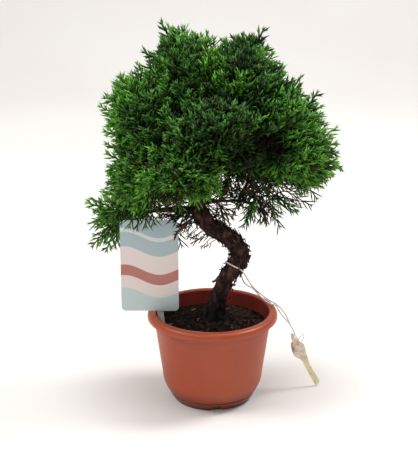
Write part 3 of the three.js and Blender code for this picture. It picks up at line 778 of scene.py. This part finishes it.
def spray_template(rng, first, side_shoots, reach, thick, prongs):
    """A spray of unit length along +Y, in the XY plane: its axis, side shoots from a first place on,
    each with short prongs, and a forked end. Gives points, three-cornered faces and tones."""
    foot, axis = np.zeros(3), np.array([0, 1.0, 0])
    shoots = [((0, 0, 0), (0.02, 0.56, 0)), ((0.02, 0.4, 0), (0, 1, 0.02))]
    tips = []

    def side(start, way, share, hand, lean, length):
        """A place along a shoot and the end of what grows from it on one hand."""
        root = start + share * way
        aside = hand * np.array([way[1], -way[0], 0]) / norm(way)
        heading = unit(way) * math.cos(lean) + aside * math.sin(lean)
        return root, root + length * unit(heading + np.array([0, 0, rng.uniform(-0.4, 0.4)]))

    for k in range(side_shoots):
        share = first + (0.8 - first) * (k + 0.6 * rng.random()) / side_shoots
        length = reach * (1 - 0.45 * share) * rng.uniform(0.8, 1.15)
        lean = math.radians(rng.uniform(24, 38))
        root, end = side(foot, axis, share, 1 if k % 2 else -1, lean, length)
        shoots.append((root, end))
        for prong in range(prongs):
            hand = 1 if (k + prong) % 2 else -1
            lean = math.radians(rng.uniform(28, 42))
            tips.append(side(root, end - root, 0.36 + 0.28 * prong, hand, lean, 0.15))
    for hand in (-1, 1):
        tips.append(side(foot, axis, 0.84, hand, 0.5, 0.17))
        tips.append(side(foot, axis, 0.68 + 0.06 * hand, hand, 0.55, 0.19))
    start, end = np.array(shoots, float).transpose(1, 0, 2)
    points, faces, tones = spikes(start, end, thick, ((0, 0.7), (0.62, 1)))
    tones += rng.uniform(-0.2, 0.2, (len(start), 1))
    start, end = np.array(tips, float).transpose(1, 0, 2)
    more, more_faces, more_tones = spikes(start, end, thick, ((0, 1),))
    more_tones = 0.35 + 0.65 * more_tones + rng.uniform(-0.2, 0.2, (len(start), 1))
    tones = np.concatenate([tones.ravel(), more_tones.ravel()])
    return np.concatenate([points, more]), np.concatenate([faces, more_faces + len(points)]), 0.4 * tones


def place_sprays(template, roots, tips, facing, bend):
    """Copies of a spray from each root to its tip, turned to face a way and bent that way."""
    points, faces, _ = template
    span = tips - roots
    length = norm(span, axis=1)
    along = span / length[:, None]
    across = unit(np.cross(along, facing))
    out = np.cross(across, along)
    lift = points[:, 2] + bend[:, None] * points[:, 1] * (points[:, 1] - 1)
    placed = points[None, :, :1] * across[:, None] + points[None, :, 1:2] * along[:, None]
    placed = roots[:, None] + length[:, None, None] * (placed + lift[..., None] * out[:, None])
    return placed.reshape(-1, 3), copies(faces, len(points), len(roots))


def turned_to(lead, ways):
    """Directions given round +Z, turned to lie round the leading shoot."""
    turn = Vector(UP).rotation_difference(Vector(unit(np.array(lead, float)))).to_matrix()
    return ways @ np.array(turn).T


def twig_ways(lead, count):
    """The way of each twig: turned by the golden angle from the leading shoot, as in the source."""
    i = np.arange(count)
    height = 1 - 2 * i / count
    return turned_to(lead, ring_points(np.sqrt(1 - height**2), i * GOLDEN_ANGLE, height))


def stem_line(name):
    """The stem of a mass, which grows on from its bough and turns to the leading shoot."""
    centre, half, lead = MASSES[name][1:4]
    bough = bough_line(name)
    way = unit(bough[-1] - bough[-2])
    foot = bough[-1] + GAP * way
    tip = centre + twig_ways(lead, 1)[0] * half * 0.45
    return through([foot, foot + 2 * way, centre + 0.4 * (foot - centre), tip], STEM_POINTS)


def crown_depth(points):
    """How far out points lie in the crown, where neighbouring masses flow together: 1 at its edge.
    Also the way out of the crown there."""
    offsets = (points[..., None, :] - centres) / halves
    shares = norm(offsets, axis=-1)
    pull = np.exp(-MERGE * shares)
    out = (pull[..., None] * offsets / halves / shares[..., None]).sum(axis=-2)
    return -np.log(pull.sum(axis=-1)) / MERGE, unit(out)


def near_trunk(points):
    """How far points lie from the trunk's line."""
    return norm(points[:, None] - trunk_points[::8], axis=2).min(axis=1)


def behind_card(points):
    """Points within the space that the card and its stem take."""
    x, y, z = points.T
    beside = (x > CARD_LEFT - 2) & (x < CARD_LEFT + CARD_WIDTH + 2)
    return beside & (z < CARD_BOTTOM + CARD_HEIGHT + 2) & (y > CARD_FRONT - 2.5) & (y < CARD_FRONT + 4)


def thin_below(points):
    """Where the crown's underside thins out to bare twigs with sky between them."""
    x, y, z = points.T
    level = np.select([x > 82, x > 55, x > 8, x > -25, x > -58], [198, 204, 212, 185, 195], 160)
    return z + 0.32 * y < level


# What grows in the crown: twigs as lines and radii, and sprays as rows of numbers
twig_lines, twig_radii, spray_rows = [], [], []


def add_twig(line, thick, thin):
    twig_lines.append(line)
    twig_radii.append(np.linspace(thick, thin, TWIG_POINTS))


def add_spray(root, tip, facing, light, kind, fork):
    """A spray, and a side twig that carries it from a fork away from its root."""
    spray_rows.append((*root, *tip, *facing, light, kind))
    gap = norm(root - fork)
    if gap > 1:
        add_twig(bent(fork, root - 0.4 * gap * unit(tip - root), root), 0.5, 0.36)


def grow_fans(rng, name, stem):
    """Twigs by the golden angle, with sprays fanned round each twig."""
    centre, half, lead, twiggy, lighter = MASSES[name][1:]
    is_loose = name in LOOSE
    twigs, fan, bare_share = LOOSE.get(name, DENSE)
    sweep = unit(np.array(lead, float)) * 0.4 + UP * (0.5 if centre[2] > RISING_FROM else 0.1)
    for way in twig_ways(lead, twigs):
        start = stem[int(rng.uniform(0.0 if is_loose else 0.3, 1) * (STEM_POINTS - 1))]
        reach = rng.uniform(0.72, 0.96)
        tuft = rng.normal(0, 0.09)
        end = start + 0.5 * (centre + way * half * reach - start)
        twig = bent(start, (start + end) / 2 + rng.normal(0, 2, 3) + UP, end)
        add_twig(twig, 0.85, 0.5)

        # tips fanned round the twig, each as far out as the crown reaches there, one ahead of the rest
        lean = np.sqrt(rng.random(fan)) * FAN_SPREAD
        lean[0] = 0
        turn = np.arange(fan) * GOLDEN_ANGLE + rng.random() * 6
        ways = turned_to(way, ring_points(np.sin(lean), turn, np.cos(lean)))
        depth = reach * (1 - 0.25 * (lean / FAN_SPREAD) ** 2 - 0.22 * rng.random(fan) ** 1.4)
        depth[0] = reach * 1.05
        ray = centre + ways[:, None] * half * RAY_STEPS
        outside = crown_depth(ray)[0] > depth[:, None]
        step = outside.argmax(axis=1)
        tips = ray[np.arange(fan), step]
        _, out = crown_depth(tips)
        heading = unit(0.5 * out + 0.35 * ways + sweep + rng.normal(0, 0.14, (fan, 3)))
        roots = tips - heading * rng.uniform(22, 32, fan)[:, None]
        fork = evenly(twig, 30)[rng.integers(9, 30, fan)]

        # bare and open ones deep inside, in the hollow and where the underside thins out
        thin = thin_below(tips) & (not is_loose)
        hollow = norm((tips - HOLLOW_CENTRE) / HOLLOW_HALF, axis=1) < 1
        bare = rng.random(fan) < bare_share + 0.5 * thin + 0.3 * (depth < 0.55) + twiggy * (depth < 0.85)
        fanned = rng.random(fan) < (0.8 if is_loose else 0.6 if twiggy else 0.3)
        kind = np.where(bare, BARE, np.where(fanned | thin | hollow, FAN, FULL))

        # none in the way of trunk, card or dip, and fewer where it is open
        keep = outside.any(axis=1) & (step > 0)
        keep &= (near_trunk(tips) > 12) & (near_trunk(roots) > 6)
        keep &= ~behind_card(tips) & ~behind_card(roots)
        keep &= (np.abs(tips[:, 0] - DIP_MIDDLE) > DIP_HALF) | (tips[:, 2] < DIP_LEVEL)
        keep &= rng.random(fan) < 1 - 0.75 * thin - 0.8 * hollow

        # painted light and shade: lighter towards the crown's edge, darker underneath, in the hollow and
        # where the underside thins out, lighter or darker by the tuft and by the mass, and a little at
        # random
        light = 0.5 + 0.7 * (depth - 0.8) - 0.06 * out[:, 2] + tuft + rng.normal(0, 0.1, fan)
        light += lighter - 0.2 * thin - 0.35 * hollow
        facing = rng.normal(0, 0.5, (fan, 3)) + 0.4 * UP + 0.8 * out
        for i in np.flatnonzero(keep):
            add_spray(roots[i], tips[i], facing[i], light[i], kind[i], fork[i])


def grow_leaders(rng, name, stem):
    """The shoots that stand out of the crown's outline: a leading spray and pairs below it."""
    lead, _, mass_lighter = MASSES[name][3:]
    sweep, start = unit(np.array(lead, float)), stem[-1]
    for tip in np.array(LEADERS.get(name, ()), float):
        way = unit(0.6 * unit(tip - start) + 0.4 * crown_depth(tip)[1] + 0.3 * sweep)
        end = tip - 26 * way
        add_twig(bent(start, end - 0.4 * norm(end - start) * way, end), 0.9, 0.6)
        facing = unit(rng.normal(0, 0.4, 3) + (0, -1, 0.3))
        hinge = unit(np.cross(way, facing))
        is_low = tip[2] < LOW_LEADER and name != "low_left"
        # painted light and shade: the mass's shift, darker still for high leaders, and dark greens for
        # low ones
        lighter = max(mass_lighter, -0.02) - (0.1 if tip[2] > HIGH_LEADER else 0)
        light = 0.3 if is_low else 0.5 + lighter
        add_spray(end - 3 * way, tip, facing, light, FAN if is_low else FULL, end)
        kind = FAN if is_low or name == "low_left" else FULL
        # pairs of side sprays, longer towards the root
        for pair in range(1 if is_low else 3):
            for hand in (-1, 1):
                heading = unit(way + hand * hinge * rng.uniform(0.35, 0.6) + rng.normal(0, 0.15, 3))
                root = end - way * (2 + 9 * pair)
                length = rng.uniform(16, 20) + 3 * pair
                light = rng.uniform(0.1, 0.35) if is_low else rng.uniform(0.2, 0.55) + lighter
                add_spray(root, root + heading * length, facing, light, kind, root)


def grow_underside():
    """Twigs under the crown, bare or with an open fan of shoots, that leave the trunk and boughs."""
    rng = seeded(31)
    for name, first, last, count, way, stray, (short, long), bare_share in UNDERSIDE:
        on_bough = name != "trunk"
        line, girth = (bough_line(name), 1.2) if on_bough else (trunk_points, TRUNK_RADIUS * 0.8)
        for share in np.linspace(first, last, count):
            heading = unit(unit(np.array(way)) + rng.normal(0, stray, 3))
            root = line[int(share * (len(line) - 1))] + girth * heading
            tip = root + heading * rng.uniform(short, long)
            kind = BARE if rng.random() < bare_share else FAN
            facing = unit(rng.normal(0, 0.5, 3) + (0, -1, 0.2))
            # the shoots on these twigs get dark greens, as painted shade under the crown
            if not behind_card(np.array([root, tip])).any():
                add_spray(root, tip, facing, rng.uniform(0, 0.35), kind, root)


def make_foliage():
    for number, name in enumerate(MASSES):
        rng = seeded(number + 1)
        stem = stem_line(name)
        add_twig(evenly(stem, TWIG_POINTS), 1.25, 0.8)
        grow_fans(rng, name, stem)
        grow_leaders(rng, name, stem)
    grow_underside()
    points, faces = tubes(np.array(twig_lines), np.array(twig_radii))
    settle("twigs", joined_mesh(points, faces), [twig_bark])

    sprays = np.array(spray_rows)
    roots, tips, facing, light, kind = np.split(sprays, (3, 6, 9, 10), axis=1)
    # which of the greens each spray takes follows its painted light and shade
    greens = len(NEEDLE_GREENS)
    tint = np.clip((light * greens).astype(int), 0, greens - 1)
    rng = seeded(77)
    templates = {}
    for form, rows in FORMS.items():
        templates[form] = [spray_template(rng, *row) for count, *row in rows for _ in range(count)]

    def lay(name, is_chosen, forms, material, most, nodes=()):
        """Lays the chosen sprays, each in one of the forms, in pieces of so many sprays at most."""
        chosen = np.flatnonzero(is_chosen)
        form = rng.integers(0, len(forms), len(sprays))
        bend = rng.uniform(0.05, 0.32, len(sprays))
        for part, first in enumerate(range(0, len(chosen), most)):
            group = chosen[first:first + most]
            placed, corners, tones, offset = [], [], [], 0
            for number, template in enumerate(forms):
                some = group[form[group] == number]
                laid, faces = place_sprays(template, roots[some], tips[some], facing[some], bend[some])
                placed.append(laid)
                corners.append(faces + offset)
                tones.append(np.tile(template[2], len(some)))
                offset += len(laid)
            placed, corners, tones = [np.concatenate(arrays) for arrays in (placed, corners, tones)]
            settle(f"{name}_{part}", joined_mesh(placed, corners, tones=tones), [material], nodes)

    masses = [f"foliage_{name}" for name in MASSES]
    for number, name in enumerate(NEEDLE_GREENS):
        green = needle_finishes[number]
        for form, ending in ((FULL, "full"), (FAN, "fan")):
            is_chosen = (kind == form) & (tint == number)
            forms = templates[form]
            lay(f"{name}_{ending}", is_chosen, forms, green, MOST_LEAFY, masses)
    lay("bare_twigs", kind == BARE, templates[BARE], dry_bark, MOST_BARE)


# Label card, tag and string


def make_card():
    bm = bmesh.new()
    size = Vector((CARD_WIDTH, CARD_THICKNESS, CARD_HEIGHT))
    middle = Vector((CARD_LEFT, CARD_FRONT, CARD_BOTTOM)) + size / 2
    bmesh.ops.create_cube(bm, size=1, matrix=Matrix.LocRotScale(middle, None, size))
    corners = [edge for edge in bm.edges if abs(edge.verts[0].co.y - edge.verts[1].co.y) > 0.1]
    bmesh.ops.bevel(
        bm, geom=corners, offset=CARD_CORNER, affect="EDGES", segments=8, profile=0.5, material=-1
    )
    for face in bm.faces:
        face.material_index = 0 if face.calc_center_median().y < CARD_FRONT + 0.1 else 1
    settle("label_card_print", mesh_of(bm), [printed_card(), card_back], ["label_card"])


def make_stem():
    bm = bmesh.new()
    side, shoulder = STEM_WIDTH / 2, STEM_POINT - STEM_DROP
    right = [(side, shoulder), (side, STEM_RISE)]
    outline = [(0, -STEM_DROP), *right, *[(-x, z) for x, z in reversed(right)]]
    face = bm.faces.new([bm.verts.new((x, 0, z)) for x, z in outline])
    bmesh.ops.inset_individual(bm, faces=[face], thickness=STEM_BORDER)
    bmesh.ops.translate(bm, vec=(0, STEM_RELIEF, 0), verts=face.verts)
    bmesh.ops.recalc_face_normals(bm, faces=bm.faces)
    bmesh.ops.solidify(bm, geom=bm.faces[:], thickness=STEM_THICKNESS - STEM_RELIEF)
    low = min(vertex.co.y for vertex in bm.verts)
    bmesh.ops.rotate(bm, verts=bm.verts, matrix=Matrix.Rotation(math.radians(-STEM_LEAN), 3, "Y"))
    behind = CARD_FRONT + CARD_THICKNESS + GAP - low
    bmesh.ops.translate(bm, vec=(STEM_X, behind, CARD_BOTTOM), verts=bm.verts)
    settle("label_stem_moulded", mesh_of(bm, 20), [stem_plastic], ["label_stem"])


def make_tag():
    rng = seeded(12)
    bm = bmesh.new()
    bm.faces.new([bm.verts.new((across, 0, -down)) for across, down in reversed(TAG_EDGE)])
    bmesh.ops.triangulate(bm, faces=bm.faces)
    for _ in range(3):
        bmesh.ops.subdivide_edges(bm, edges=bm.edges, cuts=1, use_grid_fill=True)
    draw_out(bm, bmesh.ops.extrude_face_region(bm, geom=bm.faces[:]), (0, -PAPER_THICKNESS, 0))
    # finger-like folds down the gathered edge, small creases elsewhere; the strip below is nearly flat
    creases = [(unit(rng.normal(0, 1, 2)), rng.uniform(0.5, 1.1), rng.random() * 6) for _ in range(5)]
    for vertex in bm.verts:
        x, z = vertex.co.x, vertex.co.z
        gathered = min(max((2.5 - x) / 6, 0), 1)
        fold = abs(math.sin((z + 0.55 * x) * math.pi / 4.7))
        crease = 0
        for way, pitch, shift in creases:
            crease += abs(((x * way[0] + z * way[1]) * pitch / 3 + shift) % 2 - 1) - 0.5
        crumple = 1 if z > -TAG_STRIP else 0.12
        vertex.co.y -= crumple * (2.6 * gathered * fold + 0.45 * crease)
    for face in bm.faces:
        face.material_index = 1 if face.calc_center_median().z < -TAG_YELLOW else 0
    bmesh.ops.rotate(bm, verts=bm.verts, matrix=Matrix.Rotation(math.atan(TAG_SLANT), 3, "X"))
    bmesh.ops.translate(bm, vec=Vector(TAG_TOP) - Vector((0, TAG_THICKNESS / 2, 0)), verts=bm.verts)
    settle("hang_tag_paper", mesh_of(bm, 25), [tag_cream, tag_yellow], ["hang_tag"])


def make_string():
    tie = on_trunk(STRING_AT)
    ring = round(STRING_AT * TRUNK_STEPS)
    way = unit(trunk_points[ring + 1] - trunk_points[ring - 1])
    front = unit(np.array([0, -1.0, 0]) + way * way[1])
    right = -unit(np.cross(front, way))
    tilt = math.radians(STRING_TILT)
    front = front * math.cos(tilt) + way * math.sin(tilt)
    loop_radius = trunk_girth(STRING_AT) + STRING_SLACK + STRING_RADIUS
    angles = np.radians([55, 95, 135, 175, 215, 255, 295])
    loop = tie + loop_radius * spokes(right, front, angles)

    def twisted(share, around):
        return STRING_RADIUS * (0.94 + 0.12 * np.cos(FULL_TURN * (2 * around + STRING_TWISTS * share)))

    bm = bmesh.new()
    limb(bm, through([*reversed(STRING_FRONT), *loop, *STRING_BACK], 420), twisted, 10)
    bow = through([np.array(TAG_TOP) + point for point in BOW], 60)
    limb(bm, bow, lambda share, around: np.full(len(share), BOW_RADIUS), 8)
    settle("tag_string_cotton", mesh_of(bm, 60), [string_cotton], ["tag_string"])


make_pot()
soil_rng = seeded(71)
make_soil(soil_rng)
make_chips(soil_rng)
make_trunk()
make_flakes()
make_boughs()
make_foliage()
make_card()
make_stem()
make_tag()
make_string()


# Floor and surroundings


def make_floor():
    """A pale floor that sweeps up into a backdrop behind the part."""
    bm = bmesh.new()
    turn, bend = 1400, 800
    rising = arc((turn, bend), bend, math.degrees(0.1) - 90, 0, 12)
    sweep = [(-3000, 0), (turn, 0), *rising, (turn + bend, 3500)]
    line = [bm.verts.new((-4000, y, z)) for y, z in sweep]
    edges = [bm.edges.new(pair) for pair in zip(line, line[1:])]
    draw_out(bm, bmesh.ops.extrude_edge_only(bm, edges=edges), (8000, 0, 0))
    mesh = mesh_of(bm)
    # Matt backdrop paper: a warm near-white that takes soft shadows
    mesh.materials.append(finish("backdrop_paper", ["d5d1ce", "dad7d4", "dedbd9"], 900, 0.8, 300, 0.0))
    floor = put("floor", mesh)


make_floor()
world = bpy.data.worlds.new("surroundings")
world.use_nodes = True
world.node_tree.nodes["Background"].inputs["Color"].default_value = linear("fffdfb")
world.node_tree.nodes["Background"].inputs["Strength"].default_value = 0.3
scene.world = world
